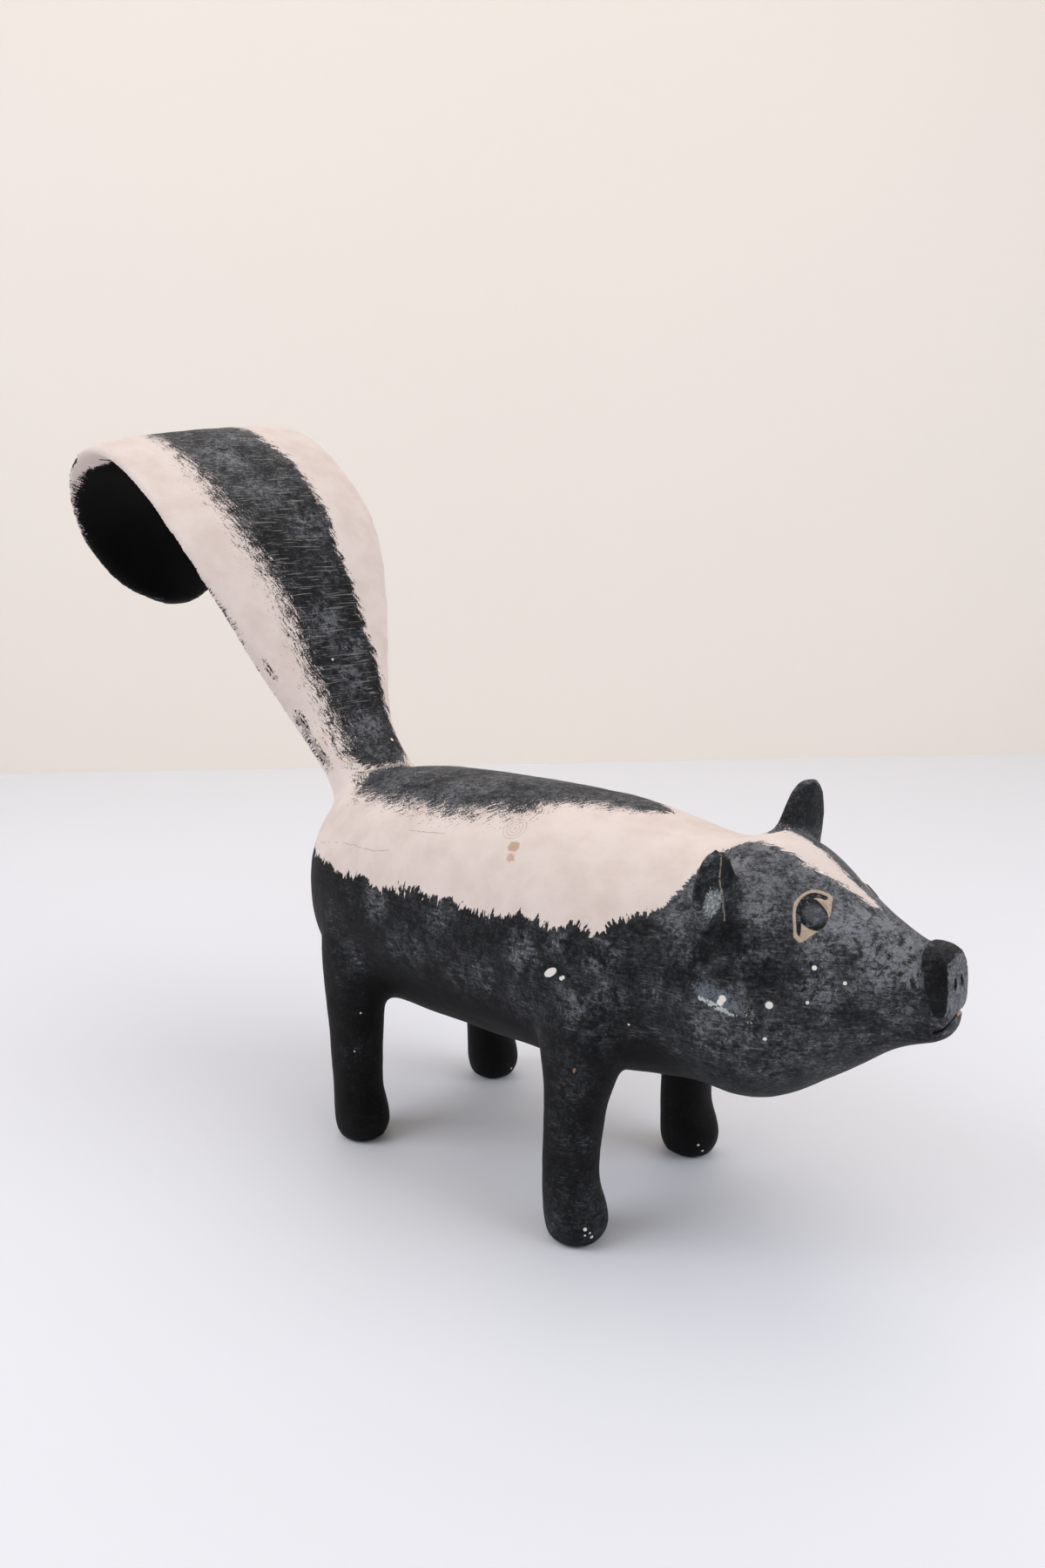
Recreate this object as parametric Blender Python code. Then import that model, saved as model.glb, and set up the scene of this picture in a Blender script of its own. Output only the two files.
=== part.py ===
"""Skunk standing with its tail curled over, carved as one piece of wood.

Metres. +X runs forward to the nose, +Y to the animal's left, +Z up, and the
four flat foot soles stand on Z = 0.
"""

import math

import bmesh
import bpy
from mathutils import Matrix, Vector

for item in list(bpy.data.objects):
    bpy.data.objects.remove(item)

# Driving sizes.
BODY_HALF_WIDTH = 0.084
NOSE_FRONT_X = 0.2948
RIGHT_HIND_FOOT = (-0.098, -0.065)
LEFT_HIND_FOOT = (-0.094, 0.065)
RIGHT_FORE_FOOT = (0.096, -0.0665)
LEFT_FORE_FOOT = (0.090, 0.063)
PADDLE_HALF_WIDTH = 0.093
PADDLE_THICKNESS = 0.016

# Carving grain of the joined block and the triangle count it is brought to.
GRAIN = 0.0035
ROUNDING_PASSES = 8
TRIANGLES = 9000
SOLE_DEPTH = 0.02

# Trunk and head along X: (x, top height, bottom height, half width, squareness).
TRUNK_STATIONS = [
    (-0.164, 0.192, 0.150, 0.018, 2.0),
    (-0.160, 0.214, 0.128, 0.038, 2.0),
    (-0.148, 0.234, 0.108, 0.058, 2.1),
    (-0.130, 0.245, 0.096, 0.071, 2.2),
    (-0.100, 0.252, 0.090, BODY_HALF_WIDTH - 0.004, 2.2),
    (-0.050, 0.2555, 0.088, BODY_HALF_WIDTH, 2.1),
    (0.050, 0.2555, 0.088, BODY_HALF_WIDTH, 2.1),
    (0.100, 0.2508, 0.0915, BODY_HALF_WIDTH - 0.002, 2.1),
    (0.135, 0.2435, 0.0975, 0.078, 2.1),
    (0.160, 0.2425, 0.0995, 0.072, 2.0),
    (0.185, 0.2480, 0.097, 0.070, 2.0),
    (0.203, 0.2470, 0.102, 0.066, 2.0),
    (0.225, 0.2325, 0.116, 0.055, 2.0),
    (0.245, 0.2200, 0.131, 0.040, 2.0),
    (0.262, 0.2120, 0.144, 0.027, 2.1),
    (0.278, 0.2045, 0.155, 0.016, 2.3),
    (0.286, 0.1990, 0.159, 0.012, 2.5),
]

# Nose cap along X, a blunt block standing a little proud of the snout.
NOSE_STATIONS = [
    (0.2750, 0.1990, 0.175, 0.0115, 3.0),
    (0.2795, 0.2072, 0.171, 0.0155, 3.2),
    (0.2870, 0.2064, 0.168, 0.0150, 3.4),
    (0.2920, 0.2030, 0.168, 0.0130, 3.6),
    (NOSE_FRONT_X, 0.1980, 0.171, 0.0105, 3.6),
]

# Chin below the mouth.
CHIN_STATIONS = [
    (0.262, 0.165, 0.145, 0.016, 2.2),
    (0.278, 0.172, 0.1525, 0.015, 2.6),
    (0.289, 0.1745, 0.157, 0.0130, 3.0),
    (NOSE_FRONT_X - 0.0006, 0.1735, 0.162, 0.0095, 3.0),
]

# Legs from the sole up: (height, centre x offset, half length, half width).
FORE_LEG_STATIONS = [
    (-0.010, 0.001, 0.0100, 0.0090),
    (0.000, 0.001, 0.0150, 0.0140),
    (0.004, 0.001, 0.0182, 0.0168),
    (0.012, 0.002, 0.0208, 0.0184),
    (0.022, 0.001, 0.0202, 0.0180),
    (0.036, -0.002, 0.0176, 0.0168),
    (0.055, -0.001, 0.0176, 0.0168),
    (0.085, 0.002, 0.0190, 0.0172),
    (0.105, 0.0055, 0.0232, 0.0178),
    (0.140, 0.006, 0.0290, 0.0180),
    (0.165, 0.004, 0.0200, 0.0150),
    (0.180, 0.004, 0.0080, 0.0060),
]
HIND_LEG_STATIONS = [
    (-0.010, 0.001, 0.0100, 0.0090),
    (0.000, 0.001, 0.0150, 0.0140),
    (0.004, 0.001, 0.0182, 0.0168),
    (0.012, 0.002, 0.0208, 0.0184),
    (0.022, 0.001, 0.0202, 0.0180),
    (0.036, -0.001, 0.0178, 0.0168),
    (0.055, -0.001, 0.0183, 0.0170),
    (0.085, 0.000, 0.0208, 0.0174),
    (0.110, 0.000, 0.0240, 0.0178),
    (0.140, 0.004, 0.0300, 0.0175),
    (0.165, 0.006, 0.0240, 0.0120),
    (0.180, 0.006, 0.0100, 0.0050),
]

# Tail ribbon from the rump, over the crest to the curled tip:
# (x, centre height, half width, thickness, rise of the left edge in degrees).
TAIL_STATIONS = [
    (-0.124, 0.205, 0.030, 0.046, 0.0),
    (-0.138, 0.232, 0.036, 0.038, 0.5),
    (-0.151, 0.250, 0.036, 0.031, 1.0),
    (-0.171, 0.277, 0.043, 0.024, 2.0),
    (-0.190, 0.321, 0.062, 0.019, 3.0),
    (-0.208, 0.366, 0.079, PADDLE_THICKNESS, 4.0),
    (-0.230, 0.410, 0.091, PADDLE_THICKNESS, 5.0),
    (-0.261, 0.4455, PADDLE_HALF_WIDTH, PADDLE_THICKNESS, 6.0),
    (-0.300, 0.4740, PADDLE_HALF_WIDTH, PADDLE_THICKNESS, 6.5),
    (-0.340, 0.4865, PADDLE_HALF_WIDTH, PADDLE_THICKNESS, 6.5),
    (-0.372, 0.4740, 0.091, PADDLE_THICKNESS, 6.0),
    (-0.389, 0.4460, 0.086, PADDLE_THICKNESS, 5.0),
    (-0.393, 0.4120, 0.074, PADDLE_THICKNESS, 4.0),
    (-0.387, 0.3800, 0.052, 0.015, 2.0),
    (-0.380, 0.3640, 0.030, 0.013, 1.0),
    (-0.377, 0.3570, 0.012, 0.011, 0.0),
]

# Ears: root and tip points, half width, thickness and turn about the ear's own length.
LEFT_EAR = (Vector((0.182, 0.033, 0.224)), Vector((0.187, 0.0405, 0.275)), 0.0235, 0.014, -6.0)
RIGHT_EAR = (Vector((0.188, -0.060, 0.211)), Vector((0.191, -0.066, 0.2555)), 0.0205, 0.014, -2.0)
EAR_HOLLOW = 0.003
# Ear outline: (share of the length, share of the half width).
EAR_PROFILE = [
    (-0.06, 0.35),
    (0.0, 0.66),
    (0.15, 0.92),
    (0.38, 1.0),
    (0.62, 0.93),
    (0.82, 0.74),
    (0.95, 0.45),
    (1.0, 0.2),
]


# Mouth cut across the blunt front and down at both corners, and the drilled nostrils.
MOUTH_RIGHT_HALF = [
    (NOSE_FRONT_X - 0.0003, 0.0, 0.1738),
    (NOSE_FRONT_X - 0.0006, -0.0060, 0.1732),
    (NOSE_FRONT_X - 0.0016, -0.0105, 0.1700),
    (NOSE_FRONT_X - 0.0040, -0.0130, 0.1665),
    (NOSE_FRONT_X - 0.0073, -0.0145, 0.1645),
]
MOUTH_LINE = [Vector((x, -y, z)) for x, y, z in MOUTH_RIGHT_HALF[:0:-1]] + [Vector(p) for p in MOUTH_RIGHT_HALF]
MOUTH_RADIUS = 0.0012
NOSTRIL_RADIUS = 0.0014
NOSTRIL_DEPTH = 0.005
NOSTRIL_SPREAD_Y = 0.0043
NOSTRIL_HEIGHT = 0.1885
NOSTRIL_OVERRUN = 0.0007


def new_object(name, mesh):
    """Put a mesh in the scene as an object of the same name."""
    item = bpy.data.objects.new(name, mesh)
    bpy.context.scene.collection.objects.link(item)
    return item


def modified(item):
    """Mesh of an object with its modifiers worked in."""
    bpy.context.view_layer.update()
    return bpy.data.meshes.new_from_object(item.evaluated_get(bpy.context.evaluated_depsgraph_get()))


def smooth_through(stations, steps):
    """Curve through all stations, with the given steps between neighbours."""
    rows = []
    last = len(stations) - 1
    for index in range(last):
        a = stations[max(index - 1, 0)]
        b = stations[index]
        c = stations[index + 1]
        d = stations[min(index + 2, last)]
        for step in range(steps):
            t = step / steps
            row = []
            for p, q, r, s in zip(a, b, c, d):
                bend = (2 * p - 5 * q + 4 * r - s) * t + (3 * q - p - 3 * r + s) * t * t
                row.append(q + 0.5 * t * ((r - p) + bend))
            rows.append(tuple(row))
    rows.append(tuple(stations[last]))
    return rows


def ring(centre, side, up, half_side, half_up, squareness=2.0, count=40):
    """Closed rounded outline about a centre, in the plane of side and up."""
    points = []
    for index in range(count):
        angle = 2 * math.pi * index / count
        across = math.copysign(abs(math.cos(angle)) ** (2 / squareness), math.cos(angle))
        rise = math.copysign(abs(math.sin(angle)) ** (2 / squareness), math.sin(angle))
        points.append(centre + side * (half_side * across) + up * (half_up * rise))
    return points


def loft(name, rings):
    """Closed skin over rings of equal point count, with flat ends."""
    shell = bmesh.new()
    loops = [[shell.verts.new(point) for point in points] for points in rings]
    for low, high in zip(loops, loops[1:]):
        for index in range(len(low)):
            after = (index + 1) % len(low)
            shell.faces.new((low[index], low[after], high[after], high[index]))
    shell.faces.new(reversed(loops[0]))
    shell.faces.new(loops[-1])
    bmesh.ops.recalc_face_normals(shell, faces=shell.faces)
    mesh = bpy.data.meshes.new(name)
    shell.to_mesh(mesh)
    shell.free()
    return new_object(name, mesh)


def along_x(name, stations):
    """Loft of upright outlines placed along the length of the animal."""
    rings = []
    for x, top, bottom, half_width, squareness in smooth_through(stations, 4):
        centre = Vector((x, 0, (top + bottom) / 2))
        half_height = (top - bottom) / 2
        rings.append(ring(centre, Vector((0, 1, 0)), Vector((0, 0, 1)), half_width, half_height, squareness))
    return loft(name, rings)


def leg(name, x, y, stations):
    """Upright leg with its foot swelling forward at the sole."""
    rings = []
    for height, forward, half_length, half_width in smooth_through(stations, 3):
        centre = Vector((x + forward, y, height))
        rings.append(ring(centre, Vector((1, 0, 0)), Vector((0, 1, 0)), half_length, half_width, 2.2))
    return loft(name, rings)


def tail(name, stations):
    """Flat ribbon that rises, widens to a paddle and curls back under itself."""
    rows = smooth_through(stations, 4)
    rings = []
    for index, (x, z, half_width, thickness, tilt) in enumerate(rows):
        before = rows[max(index - 1, 0)]
        after = rows[min(index + 1, len(rows) - 1)]
        along = Vector((after[0] - before[0], 0, after[1] - before[1])).normalized()
        lean = math.radians(tilt)
        side = Vector((0, math.cos(lean), math.sin(lean)))
        face = along.cross(side).normalized()
        side = face.cross(along).normalized()
        rings.append(ring(Vector((x, 0, z)), side, face, half_width, thickness / 2, 2.4, 48))
    return loft(name, rings)


def tube(name, line, radius):
    """Round bar along a line of points."""
    rings = []
    for index, point in enumerate(line):
        along = (line[min(index + 1, len(line) - 1)] - line[max(index - 1, 0)]).normalized()
        side = along.cross(Vector((0.3, 0.2, 1))).normalized()
        rings.append(ring(point, side, side.cross(along), radius, radius, count=12))
    return loft(name, rings)


def ear(name, root, tip, half_width, thickness, turn):
    """Upright leaf standing on the head."""
    up = (tip - root).normalized()
    angle = math.radians(turn)
    side = Vector((-math.sin(angle), math.cos(angle), 0))
    side = (side - up * side.dot(up)).normalized()
    face = side.cross(up)
    length = (tip - root).length
    rings = []
    for share, width in smooth_through(EAR_PROFILE, 3):
        centre = root + up * (length * share)
        outline = ring(centre, side, face, half_width * width, thickness / 2 * (0.4 + 0.6 * width), 2.0, 24)
        for point in outline:
            across = (point - centre).dot(side) / (half_width * width)
            if (point - centre).dot(face) > 0:
                point -= face * (EAR_HOLLOW * width * (1 - across * across))
        rings.append(outline)
    return loft(name, rings)


# The masses that the block is carved to.
pieces = [
    along_x("trunk", TRUNK_STATIONS),
    along_x("nose", NOSE_STATIONS),
    along_x("chin", CHIN_STATIONS),
    leg("right hind leg", *RIGHT_HIND_FOOT, HIND_LEG_STATIONS),
    leg("left hind leg", *LEFT_HIND_FOOT, HIND_LEG_STATIONS),
    leg("right fore leg", *RIGHT_FORE_FOOT, FORE_LEG_STATIONS),
    leg("left fore leg", *LEFT_FORE_FOOT, FORE_LEG_STATIONS),
    tail("tail", TAIL_STATIONS),
    ear("left ear", *LEFT_EAR),
    ear("right ear", *RIGHT_EAR),
]

# The pieces are joined into one block.
body = pieces[0]
for piece in pieces[1:]:
    union = body.modifiers.new("join " + piece.name, "BOOLEAN")
    union.operation = "UNION"
    union.solver = "EXACT"
    union.object = piece
joined = new_object("joined", modified(body))
for piece in pieces:
    bpy.data.objects.remove(piece)

# The block is carved over as one skin, so every root flows into the body.
grain = joined.modifiers.new("grain", "REMESH")
grain.mode = "VOXEL"
grain.voxel_size = GRAIN
rounding = joined.modifiers.new("rounding", "SMOOTH")
rounding.factor = 0.5
rounding.iterations = ROUNDING_PASSES
carved = new_object("carved", modified(joined))
bpy.data.objects.remove(joined)
thinning = carved.modifiers.new("thinning", "DECIMATE")
thinning.ratio = TRIANGLES / (2 * len(carved.data.polygons))
thinning.use_collapse_triangulate = True

# The soles are sawn flat, the mouth is cut and the nostrils are drilled.
saw_outline = [Vector((x, y, -SOLE_DEPTH)) for x, y in ((-0.2, -0.2), (0.2, -0.2), (0.2, 0.2), (-0.2, 0.2))]
cutters = [
    loft("soles", [saw_outline, [point + Vector((0, 0, SOLE_DEPTH)) for point in saw_outline]]),
    tube("mouth", MOUTH_LINE, MOUTH_RADIUS),
]
for side in (-1, 1):
    place = Vector((NOSE_FRONT_X, side * NOSTRIL_SPREAD_Y, NOSTRIL_HEIGHT))
    drill = [place - Vector((NOSTRIL_DEPTH, 0, 0)), place + Vector((NOSTRIL_OVERRUN, 0, 0))]
    cutters.append(tube("nostril", drill, NOSTRIL_RADIUS))
for cutter in cutters:
    cut = carved.modifiers.new(cutter.name, "BOOLEAN")
    cut.operation = "DIFFERENCE"
    cut.solver = "EXACT"
    cut.object = cutter

skunk = new_object("skunk", modified(carved))
for item in [carved] + cutters:
    bpy.data.objects.remove(item)

# The bounding box is centred over the origin.
corners = [Vector(corner) for corner in skunk.bound_box]
middle_x = (corners[0].x + corners[6].x) / 2
middle_y = (corners[0].y + corners[6].y) / 2
skunk.data.transform(Matrix.Translation((-middle_x, -middle_y, 0)))
skunk.data.name = "skunk"
for face in skunk.data.polygons:
    face.use_smooth = True

# Matt charcoal paint on wood.
wood = bpy.data.materials.new("painted_wood")
wood.use_nodes = True
shader = wood.node_tree.nodes["Principled BSDF"]
shader.inputs["Base Color"].default_value = (0.03, 0.032, 0.04, 1)
shader.inputs["Roughness"].default_value = 0.75
skunk.data.materials.clear()
skunk.data.materials.append(wood)
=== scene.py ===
import math

import bmesh
import bpy
import numpy as np
from mathutils import Matrix, Vector, noise
from mathutils.bvhtree import BVHTree


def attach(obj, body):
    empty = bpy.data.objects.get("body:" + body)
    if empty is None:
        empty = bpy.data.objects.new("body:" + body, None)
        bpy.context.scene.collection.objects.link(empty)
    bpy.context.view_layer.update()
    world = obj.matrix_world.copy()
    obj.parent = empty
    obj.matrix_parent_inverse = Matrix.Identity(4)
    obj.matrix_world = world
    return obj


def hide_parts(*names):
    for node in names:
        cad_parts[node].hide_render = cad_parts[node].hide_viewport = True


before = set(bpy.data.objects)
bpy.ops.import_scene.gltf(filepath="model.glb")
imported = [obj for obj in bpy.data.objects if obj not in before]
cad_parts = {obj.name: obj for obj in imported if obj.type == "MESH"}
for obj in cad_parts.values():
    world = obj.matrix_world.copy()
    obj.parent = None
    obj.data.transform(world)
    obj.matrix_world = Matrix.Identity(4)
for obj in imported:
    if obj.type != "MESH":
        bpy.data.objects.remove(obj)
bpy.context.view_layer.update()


# Camera. It stands a little above the animal, off its right shoulder, and looks
# slightly down with a fairly wide lens, as in the photograph.
camera_data = bpy.data.cameras.new("camera")
camera_data.lens = 28.0
camera_data.sensor_width = 36.0
camera_data.clip_start = 0.01
camera_data.clip_end = 20.0
camera = bpy.data.objects.new("camera", camera_data)
bpy.context.scene.collection.objects.link(camera)
view_right = Vector((0.74734, 0.66417, -0.01910)).normalized()
view_ahead = Vector((-0.65227, 0.72785, -0.21161)).normalized()
view_up = view_right.cross(view_ahead)
turn = Matrix((view_right, view_up, -view_ahead)).transposed().to_4x4()
camera_place = (0.5696, -0.5740, 0.42)
camera.matrix_world = Matrix.Translation(camera_place) @ turn
bpy.context.scene.camera = camera


# Floor and wall. A plain pale table top under the animal and a plain warm wall
# well behind it, both painted matt.
def srgb(code):
    """Linear colour, with alpha, of an sRGB hex code."""
    channels = [int(code[i:i + 2], 16) / 255 for i in (0, 2, 4)]
    return [c / 12.92 if c <= 0.04045 else ((c + 0.055) / 1.055) ** 2.4 for c in channels] + [1.0]


# What the second word of a kind of node sets, as in "Math MULTIPLY".
MAIN_SETTING = {
    "Attribute": "attribute_name",
    "MapRange": "interpolation_type",
    "Math": "operation",
    "Mix": "data_type",
    "VectorMath": "operation",
}


def put(material, kind, *values, out=None, **named):
    """Add a node, as "Kind" or "Kind SETTING", fill its inputs in order or by name, and give an output."""
    tree = material.node_tree
    kind, _, setting = kind.partition(" ")
    node = tree.nodes.new("ShaderNode" + kind)
    if setting:
        setattr(node, MAIN_SETTING[kind], setting)
    filled = list(zip([socket for socket in node.inputs if socket.enabled], values))
    filled += [(node.inputs[name], value) for name, value in named.items()]
    for socket, value in filled:
        if isinstance(value, bpy.types.NodeSocket):
            tree.links.new(value, socket)
        else:
            socket.default_value = srgb(value) if isinstance(value, str) else value
    return node.outputs[out] if out else next(socket for socket in node.outputs if socket.enabled)


def matt_ground(name, code):
    """Flat paint with a slight unevenness in tone."""
    material = bpy.data.materials.new(name)
    material.use_nodes = True
    shader = material.node_tree.nodes["Principled BSDF"]
    cloud = put(material, "TexNoise", put(material, "TexCoord", out="Object"), Scale=1.5)
    darker = [0.97 * c for c in srgb(code)[:3]] + [1.0]
    tone = put(material, "Mix RGBA", cloud, code, darker)
    material.node_tree.links.new(tone, shader.inputs["Base Color"])
    shader.inputs["Roughness"].default_value = 0.6
    return material


def ground_sheet(name, corners, material):
    """Flat sheet that belongs to the room."""
    sheet = bmesh.new()
    sheet.faces.new([sheet.verts.new(corner) for corner in corners])
    mesh = bpy.data.meshes.new(name)
    sheet.to_mesh(mesh)
    sheet.free()
    mesh.materials.append(material)
    item = bpy.data.objects.new(name, mesh)
    bpy.context.scene.collection.objects.link(item)


FLOOR_REACH = 6.0
WALL_DISTANCE = 1.3
WALL_HEIGHT = 4.0
away = Vector((view_ahead.x, view_ahead.y, 0)).normalized()
aside = Vector((away.y, -away.x, 0))
wall_foot = [away * WALL_DISTANCE + aside * reach for reach in (-FLOOR_REACH, FLOOR_REACH)]
floor_near = [-away * FLOOR_REACH + aside * reach for reach in (FLOOR_REACH, -FLOOR_REACH)]
ground_sheet("floor", wall_foot[::-1] + floor_near[::-1], matt_ground("matt_white_table_paint", "F0F2F8"))
wall_head = [foot + Vector((0, 0, WALL_HEIGHT)) for foot in wall_foot[::-1]]
ground_sheet("wall", wall_foot + wall_head, matt_ground("warm_wall_paint", "F8F0E6"))


# Light. A wide soft window, slightly cool, from the upper left of the camera, a
# soft fill from the right, a warmer bounce from the ceiling, and an even pale room.
def soft_light(name, place, aim, size, watts, code):
    """Square soft light turned to a point."""
    light = bpy.data.lights.new(name, "AREA")
    light.shape = "SQUARE"
    light.size = size
    light.energy = watts
    light.color = srgb(code)[:3]
    item = bpy.data.objects.new(name, light)
    item.location = place
    item.rotation_euler = (aim - place).to_track_quat("-Z", "Y").to_euler()
    bpy.context.scene.collection.objects.link(item)


middle = Vector((0, 0, 0.22))
soft_light("window_light", Vector((-0.9, -1.5, 1.6)), middle, size=1.4, watts=21, code="F2F5FF")
soft_light("room_fill", Vector((1.6, 0.5, 1.2)), middle, size=1.4, watts=15, code="EEF3FF")
soft_light("ceiling_bounce", Vector((0.1, 0.1, 2.4)), middle, size=2.2, watts=17, code="FFF6EC")
world = bpy.data.worlds.new("pale_room")
world.use_nodes = True
world.node_tree.nodes["Background"].inputs["Color"].default_value = srgb("F1EEEA")
world.node_tree.nodes["Background"].inputs["Strength"].default_value = 0.42
bpy.context.scene.world = world
bpy.context.scene.view_settings.view_transform = "Standard"


# The skunk is carved from one block of soft wood with gouge and rasp and sanded,
# so it has one skin from nose to tail, slightly uneven, with soft tool hollows.
SKIN_GRAIN = 0.0028
SANDING_PASSES = 4
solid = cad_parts["skunk"]
skin = bmesh.new()
skin.from_mesh(solid.data)
bmesh.ops.remove_doubles(skin, verts=skin.verts, dist=1e-5)
rough_mesh = bpy.data.meshes.new("rough_skin")
skin.to_mesh(rough_mesh)
skin.free()
carved = bpy.data.objects.new("rough_skin", rough_mesh)
bpy.context.scene.collection.objects.link(carved)
rounding = carved.modifiers.new("rounding", "SUBSURF")
rounding.levels = rounding.render_levels = 2
grain = carved.modifiers.new("grain", "REMESH")
grain.mode = "VOXEL"
grain.voxel_size = SKIN_GRAIN
sanding = carved.modifiers.new("sanding", "SMOOTH")
sanding.factor = 0.5
sanding.iterations = SANDING_PASSES
bpy.context.view_layer.update()
fine_mesh = bpy.data.meshes.new_from_object(carved.evaluated_get(bpy.context.evaluated_depsgraph_get()))
bpy.data.objects.remove(carved)
skin = bmesh.new()
skin.from_mesh(fine_mesh)

# The eyes and the nose are cut finer than the body.
EYE_CENTRE = Vector((0.2825, -0.0301, 0.2192))
EYE_REACH = 0.0200
NOSE_START = 0.3270


def near_eye(point):
    """Whether a point is within reach of either eye."""
    return (Vector((point.x, -abs(point.y), point.z)) - EYE_CENTRE).length < EYE_REACH


def refine(chosen, cuts):
    """Split the chosen edges evenly and sand the new surface."""
    made = bmesh.ops.subdivide_edges(skin, edges=chosen, cuts=cuts, use_grid_fill=True)
    fresh = [item for item in made["geom_inner"] if isinstance(item, bmesh.types.BMVert)]
    axes = {"use_axis_x": True, "use_axis_y": True, "use_axis_z": True}
    for _ in range(3):
        bmesh.ops.smooth_vert(skin, verts=fresh, factor=0.5, **axes)


refine([e for e in skin.edges if near_eye((e.verts[0].co + e.verts[1].co) / 2)], cuts=4)
refine([e for e in skin.edges if min(v.co.x for v in e.verts) > NOSE_START], cuts=3)
bmesh.ops.triangulate(skin, faces=[f for f in skin.faces if len(f.verts) > 4])
skin.normal_update()
skin.verts.index_update()
spots = np.array([v.co for v in skin.verts])
facing = np.array([v.normal for v in skin.verts])


def hollows(scale, seed):
    """Smooth unevenness, from -1 to 1, with features of a given size in metres."""
    shift = Vector((seed, 2.3 * seed, 5.1 * seed))
    return np.array([noise.noise(Vector(p) / scale + shift) for p in spots])


def smooth_step(low, high, values):
    """Ease from 0 to 1 between two limits."""
    t = np.clip((values - low) / (high - low), 0, 1)
    return t * t * (3 - 2 * t)


# Broad gouge hollows and small rasp marks, which fade out at the flat soles.
GOUGE_DEPTH, GOUGE_SIZE = 0.00045, 0.026
RASP_DEPTH, RASP_SIZE = 0.00014, 0.008
lift = GOUGE_DEPTH * hollows(GOUGE_SIZE, 1.0) + RASP_DEPTH * hollows(RASP_SIZE, 2.0)
lift *= smooth_step(0.0, 0.012, spots[:, 2])


# Eyes. Each is outlined with a knife and painted: a bare tan almond, a black lid
# along its top and rear, and a round iris left standing a little proud.
# Outlines, in mm, on the eye's own plane: toward the nose, then up.
EYE_AHEAD = np.array((0.8274, 0.3481, -0.4406))
EYE_UP = np.array((0.0, 0.7846, 0.6200))
ALMOND = [
    (3.9, 15.2), (1.7, 16.0), (-1.4, 15.8), (-4.3, 15.0), (-7.1, 12.9), (-9.3, 10.4), (-11.0, 7.0),
    (-12.1, 3.3), (-12.4, 0.3), (-11.9, -2.3), (-10.2, -6.3), (-8.2, -9.9), (-6.2, -13.5), (-4.7, -16.3),
    (-2.3, -17.2), (-0.6, -17.5), (0.7, -16.2), (2.2, -13.0), (3.7, -9.8), (5.1, -7.4), (6.4, -5.3),
    (6.9, -1.5), (6.6, 1.9), (6.7, 3.8), (5.8, 7.5), (4.7, 11.3),
]
LID_AND_IRIS = [
    (1.9, 13.3), (1.1, 13.9), (-0.7, 13.8), (-2.8, 13.4), (-5.1, 12.4), (-7.2, 10.7), (-8.8, 8.2),
    (-10.1, 4.8), (-10.5, 1.1), (-10.3, -1.3), (-9.2, -4.7), (-7.7, -7.7), (-5.9, -10.9), (-4.4, -13.4),
    (-2.5, -15.0), (-2.1, -14.2), (-2.5, -12.3), (-3.5, -10.0), (-4.5, -7.9), (-3.1, -8.1), (-0.9, -8.7),
    (2.1, -8.4), (5.1, -7.4), (6.4, -5.3), (6.9, -1.5), (6.6, 1.9), (5.2, 3.9), (2.9, 6.2), (0.3, 7.7),
    (-2.7, 8.5), (-4.6, 8.3), (-3.2, 9.8), (-1.3, 10.6), (0.9, 10.9), (1.8, 12.0),
]
IRIS_CENTRE = (-0.6, -0.4)
IRIS_RADIUS = 7.9
FAR_EYE_DROP = np.array((0.0, 0.0030, 0.0045))
LID_CUT, IRIS_RISE, IRIS_GROOVE = 0.0004, 0.0012, 0.0005
FAR_OUTSIDE = -9.0


def line_distance(points, rows):
    """Distance of points from the line through rows of places."""
    rows = np.array(rows, float)
    nearest = np.full(len(points), 1e9)
    for a, b in zip(rows, rows[1:]):
        share = np.clip(((points - a) @ (b - a)) / ((b - a) @ (b - a)), 0, 1)
        nearest = np.minimum(nearest, np.linalg.norm(points - a - share[:, None] * (b - a), axis=1))
    return nearest


def inside_depth(points, outline):
    """Distance of flat points from an outline, positive inside it."""
    inside = np.zeros(len(points), bool)
    for a, b in zip(outline, outline[1:] + outline[:1]):
        crosses = (a[1] > points[:, 1]) != (b[1] > points[:, 1])
        if a[1] != b[1]:
            slope = (b[0] - a[0]) / (b[1] - a[1])
            inside ^= crosses & (points[:, 0] < slope * (points[:, 1] - a[1]) + a[0])
    return np.where(inside, 1, -1) * line_distance(points, outline + outline[:1])


mirrored = spots * [1, -1, 1] * (spots[:, 1:2] > 0) + spots * (spots[:, 1:2] <= 0)
from_eye = mirrored - np.array(EYE_CENTRE) + np.where(spots[:, 1:2] > 0, FAR_EYE_DROP, 0.0)
eye_flat = np.stack([from_eye @ EYE_AHEAD, from_eye @ EYE_UP], axis=1) * 1000
by_eye = np.linalg.norm(from_eye, axis=1) < 1.2 * EYE_REACH
almond = np.full(len(spots), FAR_OUTSIDE)
almond[by_eye] = inside_depth(eye_flat[by_eye], ALMOND)
lid = np.full(len(spots), FAR_OUTSIDE)
lid[by_eye] = inside_depth(eye_flat[by_eye], LID_AND_IRIS)
iris = np.full(len(spots), 2.5 * IRIS_RADIUS)
iris[by_eye] = np.linalg.norm(eye_flat[by_eye] - IRIS_CENTRE, axis=1)
lift -= LID_CUT * smooth_step(-0.6, 0.6, lid) * by_eye
lift += IRIS_RISE * by_eye * (1 - smooth_step(0.55, 1.0, iris / IRIS_RADIUS))
lift -= IRIS_GROOVE * by_eye * np.exp(-((iris - IRIS_RADIUS - 0.2) / 0.6) ** 2) * (almond > 0)


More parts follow.
